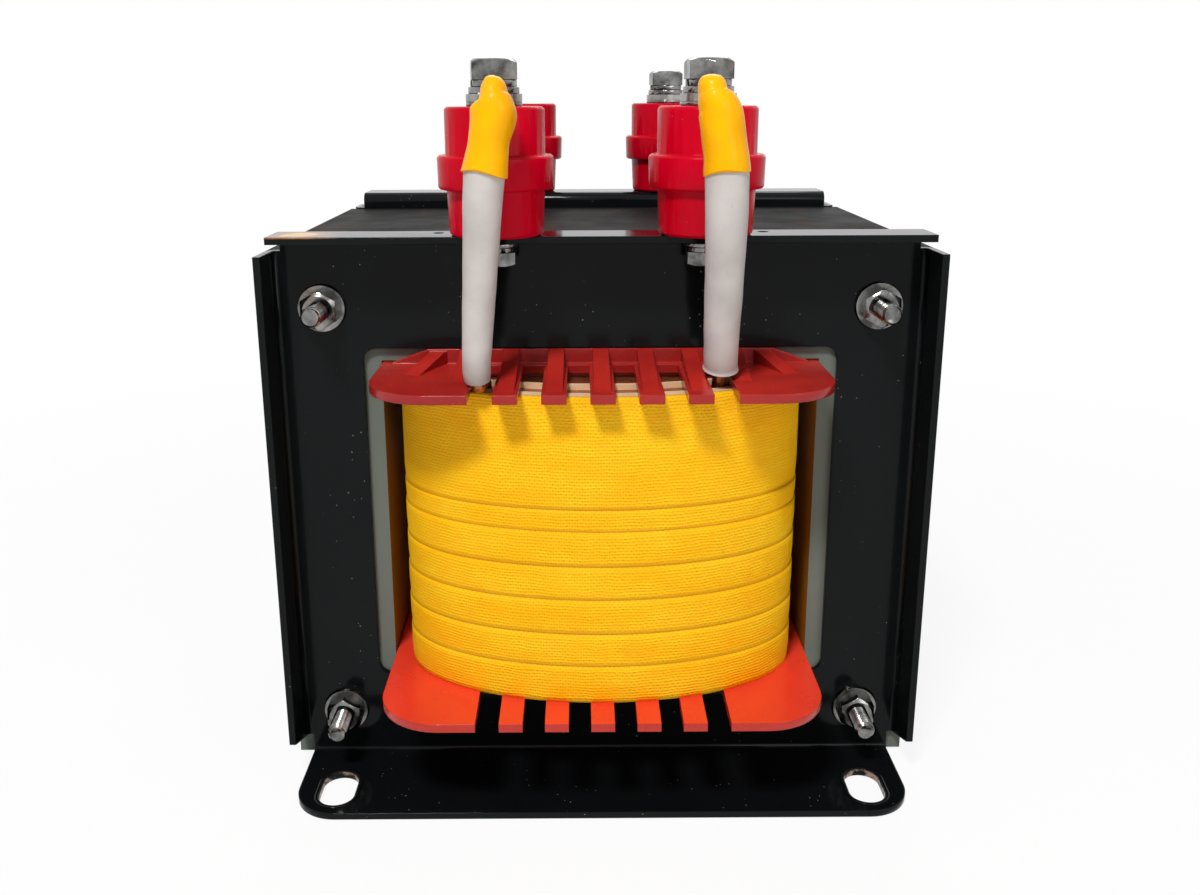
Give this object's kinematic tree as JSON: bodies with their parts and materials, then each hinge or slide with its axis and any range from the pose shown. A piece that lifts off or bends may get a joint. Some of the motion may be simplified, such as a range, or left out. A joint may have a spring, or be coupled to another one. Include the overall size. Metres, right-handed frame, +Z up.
{
  "type": "laminated chassis transformer",
  "caption": "Laminated chassis transformer in black bent brackets, taped coil on a red bobbin, standoff insulator terminals with booted leads, slotted feet.",
  "frame": {"origin": "centre of the footprint at the underside of the feet", "axes": "+Z up, -Y towards the front bracket, +X to the right seen from the front"},
  "size_m": [0.192, 0.218, 0.2127],
  "materials": {
    "black_paint": "gloss black enamel",
    "lamination_steel": "varnished lamination edges",
    "bobbin_red": "moulded brick-red plastic, satin",
    "insulator_red": "moulded crimson compound, satin",
    "copper_wire": "enamelled copper, satin",
    "insulation_paper": "varnished paper, matte",
    "coil_tape": "woven adhesive tape, satin",
    "zinc_steel": "zinc plated, satin",
    "tinned_lug": "tin plated, satin",
    "brass": "plain brass",
    "hard_fibre": "hard fibre, matte",
    "boot_yellow": "soft yellow plastic, satin",
    "sleeve_grey": "light grey silicone sleeving, matte"
  },
  "bodies": {
    "root": {"front_bracket": "black_paint", "rear_bracket": "black_paint", "e_laminations": "lamination_steel", "i_laminations": "lamination_steel", "bobbin": "bobbin_red", "primary_winding": "copper_wire", "winding_insulation": "insulation_paper", "secondary_winding": "copper_wire", "outer_insulation": "insulation_paper", "coil_tape": "coil_tape", "clamp_bolts": "zinc_steel", "clamp_sleeves": "hard_fibre", "clamp_flange_nuts": "zinc_steel", "terminal_inserts": "brass", "base_inserts": "brass", "terminal_bolts": "zinc_steel", "terminal_spring_washers": "zinc_steel", "terminal_washers": "zinc_steel", "terminal_seat_washers": "zinc_steel", "base_bolts": "zinc_steel", "base_spring_washers": "zinc_steel", "base_washers": "zinc_steel", "insulator_front_left": "insulator_red", "lug_front_left": "tinned_lug", "boot_front_left": "boot_yellow", "sleeve_front_left": "sleeve_grey", "lead_front_left": "copper_wire", "insulator_front_right": "insulator_red", "lug_front_right": "tinned_lug", "boot_front_right": "boot_yellow", "sleeve_front_right": "sleeve_grey", "lead_front_right": "copper_wire", "insulator_rear_left": "insulator_red", "insulator_rear_right": "insulator_red", "lug_rear_right": "tinned_lug", "boot_rear_right": "boot_yellow", "sleeve_rear_right": "sleeve_grey", "lead_rear_right": "copper_wire"}
  },
  "joints": []
}
